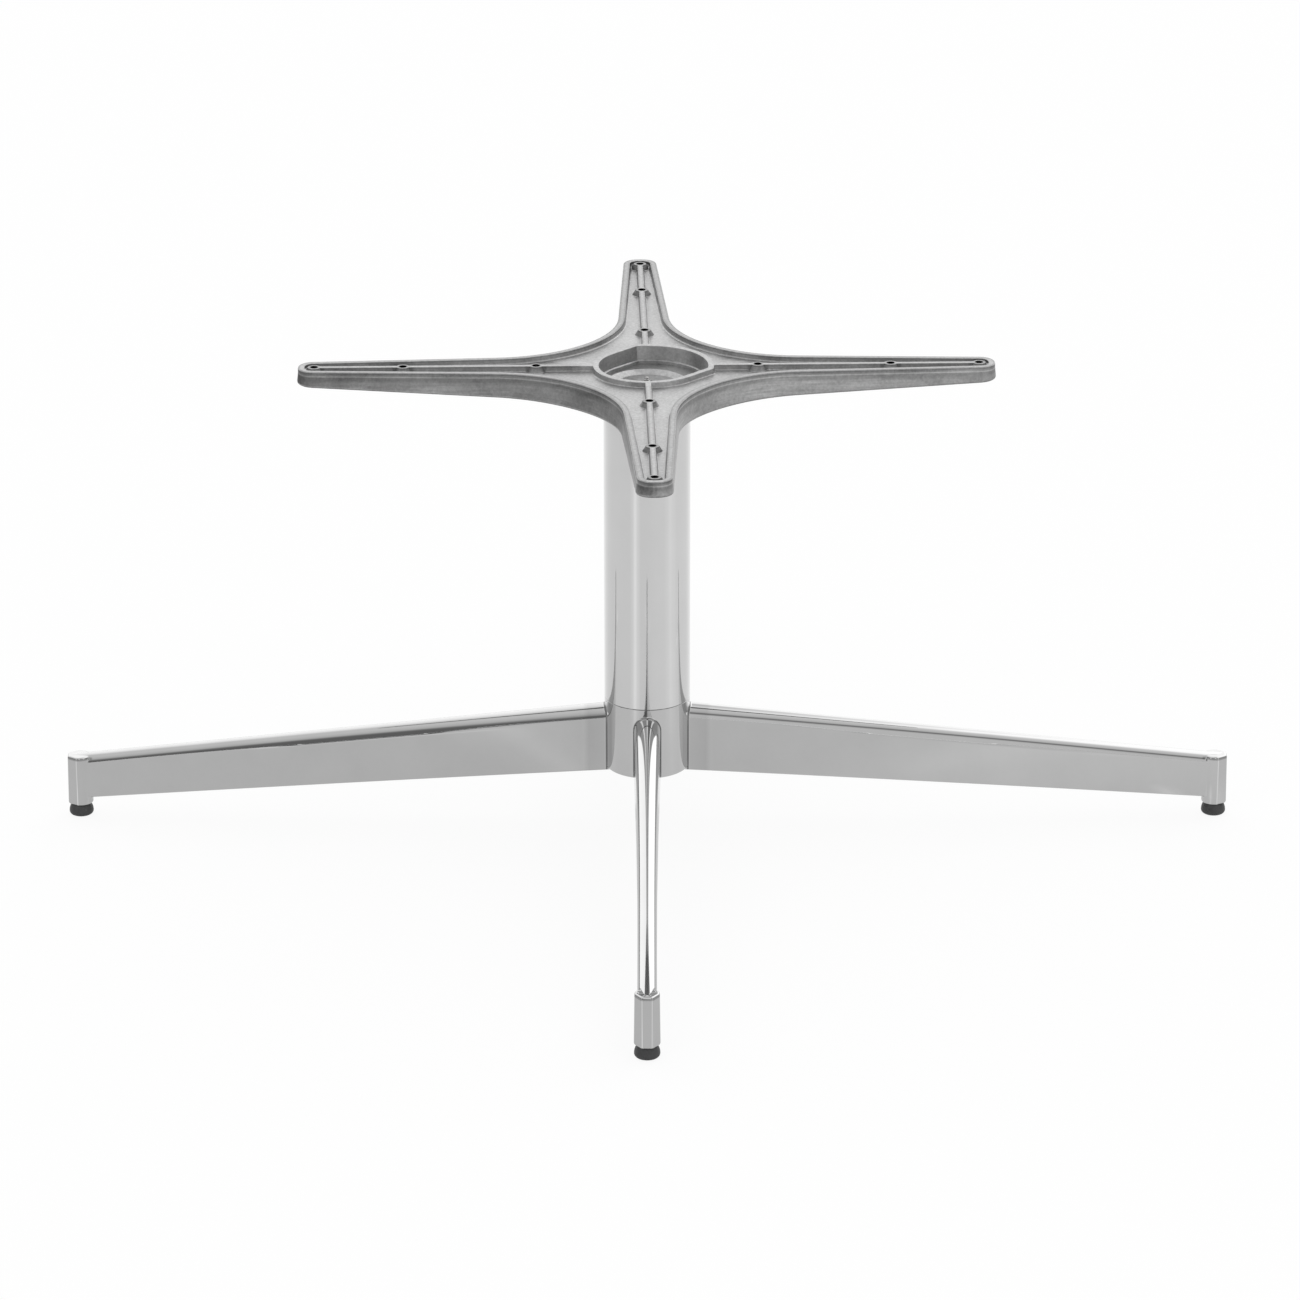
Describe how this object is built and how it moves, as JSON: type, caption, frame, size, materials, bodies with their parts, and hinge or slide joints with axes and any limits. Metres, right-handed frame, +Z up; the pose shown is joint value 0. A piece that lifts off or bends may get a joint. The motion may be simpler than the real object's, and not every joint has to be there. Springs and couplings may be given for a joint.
{
  "type": "coffee table base",
  "caption": "Low table base: a star of cast legs on levelling glides, a round column and a ribbed cast spider that screws up under a table top.",
  "frame": {"origin": "on the floor, under the middle of the column", "axes": "+Z up along the column to the face that carries the table top; the legs lie along X and Y, and -Y is the side that the picture shows in front"},
  "size_m": [1.023, 1.023, 0.418],
  "materials": {
    "raw_casting": "raw cast, tumbled, with a machined top",
    "column_metal": "polished",
    "polished_casting": "mirror polished",
    "fastener_steel": "zinc plated",
    "glide_plastic": "moulded, satin"
  },
  "bodies": {
    "root": {"top_spider": "raw_casting", "column_tube": "column_metal", "star_base": "polished_casting", "tie_rod": "fastener_steel", "upper_washer": "fastener_steel", "upper_nut": "fastener_steel", "lower_washer": "fastener_steel", "lower_nut": "fastener_steel", "glide_pad_right": "glide_plastic", "glide_pad_back": "glide_plastic", "glide_pad_left": "glide_plastic", "glide_pad_front": "glide_plastic", "glide_stud_right": "fastener_steel", "glide_stud_back": "fastener_steel", "glide_stud_left": "fastener_steel", "glide_stud_front": "fastener_steel"}
  },
  "joints": []
}
